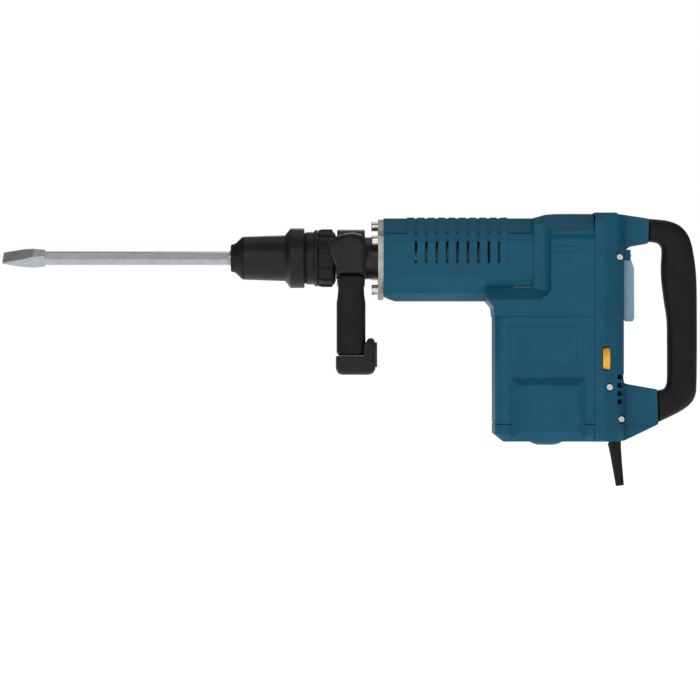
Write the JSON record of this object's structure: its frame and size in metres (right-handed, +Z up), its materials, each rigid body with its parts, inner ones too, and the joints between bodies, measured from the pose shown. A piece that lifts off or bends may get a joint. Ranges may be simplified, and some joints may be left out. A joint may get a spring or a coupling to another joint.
{
  "type": "electric demolition hammer",
  "caption": "Electric demolition hammer with a flat chisel, quick-release chuck, upright motor, closed rear handle and a swivelling side handle.",
  "frame": {"origin": "middle of the rear grip, where the hand holds it", "axes": "+X back along the hammer axis from chisel to grip, +Y to the right, +Z up"},
  "size_m": [0.8495, 0.154, 0.3331],
  "materials": {
    "blue_casing": "fine textured moulded plastic",
    "light_switch": "satin",
    "black_grip": "soft matt grip",
    "black_plastic": "satin",
    "neck_steel": "dark oiled",
    "cast_alloy": "as cast",
    "bright_steel": "zinc plated",
    "chisel_steel": "forged and ground",
    "machined_steel": "ground",
    "core_steel": "laminated",
    "copper": "wound wire",
    "carbon": "pressed carbon",
    "seal_rubber": "matt",
    "cable_rubber": "matt",
    "dial_yellow": "satin",
    "board": "lacquered"
  },
  "bodies": {
    "housing": {"barrel_shell": "blue_casing", "upper_housing": "blue_casing", "motor_housing": "blue_casing", "end_cap": "blue_casing", "rear_shell_near": "blue_casing", "rear_shell_far": "blue_casing", "rear_grip": "black_grip", "brush_cover_near": "blue_casing", "brush_cover_far": "blue_casing", "flange_plate": "cast_alloy", "neck_sleeve": "neck_steel", "flange_bolts": "bright_steel", "housing_screws": "bright_steel", "gear_housing": "cast_alloy", "cylinder": "machined_steel", "holder_bearing": "bright_steel", "crank_bearings": "bright_steel", "motor_bearings": "bright_steel", "stator": "core_steel", "field_coils": "copper", "brush_holders": "black_plastic", "carbon_brushes": "carbon", "switch_module": "black_plastic", "speed_control": "board", "paddle_pin": "bright_steel", "cable_sleeve": "cable_rubber"},
    "tool_holder": {"holder_tube": "machined_steel", "dust_cap": "black_plastic", "retaining_ring": "bright_steel", "sleeve_spring": "bright_steel"},
    "locking_sleeve": {"locking_sleeve": "black_plastic", "lock_ring": "machined_steel"},
    "adjusting_ring": {"adjusting_ring": "black_plastic"},
    "roller_near": {"roller_near": "bright_steel"},
    "roller_far": {"roller_far": "bright_steel"},
    "chisel": {"chisel": "chisel_steel"},
    "percussion_pin": {"percussion_pin": "machined_steel", "pin_seal": "seal_rubber"},
    "ram": {"ram": "machined_steel", "ram_seal": "seal_rubber"},
    "piston": {"piston": "machined_steel", "piston_seal": "seal_rubber", "wrist_pin": "bright_steel"},
    "connecting_rod": {"connecting_rod": "machined_steel", "crank_pin": "bright_steel"},
    "crank": {"crankshaft": "machined_steel", "crank_gear": "machined_steel"},
    "armature": {"armature_shaft": "machined_steel", "fan": "black_plastic", "armature_core": "core_steel", "armature_winding": "copper", "commutator": "copper"},
    "side_handle": {"clamp_band": "black_plastic", "handle_loop": "black_plastic", "side_grip_near": "black_grip", "side_grip_far": "black_grip", "clamp_bolt": "bright_steel"},
    "thumb_wheel": {"thumb_wheel": "black_plastic"},
    "switch_paddle": {"switch_paddle": "light_switch"},
    "speed_dial": {"speed_dial": "dial_yellow"}
  },
  "joints": [
    {"name": "crank_spin", "type": "hinge", "parent": "housing", "child": "crank", "pos_m": [-0.2051, 0, 0.03455], "axis": [0, 0, 1], "continuous": true},
    {"name": "armature_spin", "type": "hinge", "parent": "housing", "child": "armature", "pos_m": [-0.1655, 0, -0.02545], "axis": [0, 0, 1], "continuous": true},
    {"name": "piston_slide", "type": "slide", "parent": "housing", "child": "piston", "axis": [1, 0, 0], "range_m": [0, 0.028]},
    {"name": "rod_swing", "type": "hinge", "parent": "piston", "child": "connecting_rod", "pos_m": [-0.2851, 0, 0.07455], "axis": [0, 0, 1], "range_deg": [-12.2, 12.2]},
    {"name": "ram_slide", "type": "slide", "parent": "housing", "child": "ram", "axis": [1, 0, 0], "range_m": [-0.005, 0.012]},
    {"name": "percussion_pin_slide", "type": "slide", "parent": "tool_holder", "child": "percussion_pin", "axis": [1, 0, 0], "range_m": [0, 0.008]},
    {"name": "holder_turn", "type": "hinge", "parent": "housing", "child": "tool_holder", "pos_m": [-0.451, 0, 0.07455], "axis": [1, 0, 0], "continuous": true},
    {"name": "ring_push", "type": "slide", "parent": "tool_holder", "child": "adjusting_ring", "axis": [-1, 0, 0], "range_m": [0, 0.0035], "stiffness_N_per_m": 2000, "springref_m": -0.003},
    {"name": "sleeve_pull", "type": "slide", "parent": "tool_holder", "child": "locking_sleeve", "axis": [1, 0, 0], "range_m": [0, 0.0075], "stiffness_N_per_m": 2500, "springref_m": -0.003, "deforming": ["sleeve_spring"]},
    {"name": "roller_near_lift", "type": "slide", "parent": "tool_holder", "child": "roller_near", "axis": [0, -1, 0], "range_m": [0, 0.003]},
    {"name": "roller_far_lift", "type": "slide", "parent": "tool_holder", "child": "roller_far", "axis": [0, 1, 0], "range_m": [0, 0.003]},
    {"name": "chisel_play", "type": "slide", "parent": "tool_holder", "child": "chisel", "axis": [-1, 0, 0], "range_m": [0, 0.015]},
    {"name": "side_handle_swivel", "type": "hinge", "parent": "housing", "child": "side_handle", "pos_m": [-0.404, 0, 0.07455], "axis": [1, 0, 0], "continuous": true},
    {"name": "thumb_wheel_turn", "type": "hinge", "parent": "side_handle", "child": "thumb_wheel", "pos_m": [-0.404, 0.019, 0.02605], "axis": [0, 1, 0], "range_deg": [-360, 360]},
    {"name": "paddle_press", "type": "hinge", "parent": "housing", "child": "switch_paddle", "pos_m": [-0.0665, 0, 0.07755], "axis": [0, 1, 0], "range_deg": [0, 4], "stiffness_Nm_per_rad": 1.2, "springref_deg": -5.73},
    {"name": "dial_turn", "type": "hinge", "parent": "housing", "child": "speed_dial", "pos_m": [-0.095, -0.04824, -0.04825], "axis": [1, 0, 0], "range_deg": [-225, 45]}
  ],
  "couplings": [
    {"joint": "armature_spin", "follows": "crank_spin", "ratio": -6.3333},
    {"joint": "roller_near_lift", "follows": "sleeve_pull", "ratio": 0.4},
    {"joint": "roller_far_lift", "follows": "sleeve_pull", "ratio": 0.4}
  ]
}
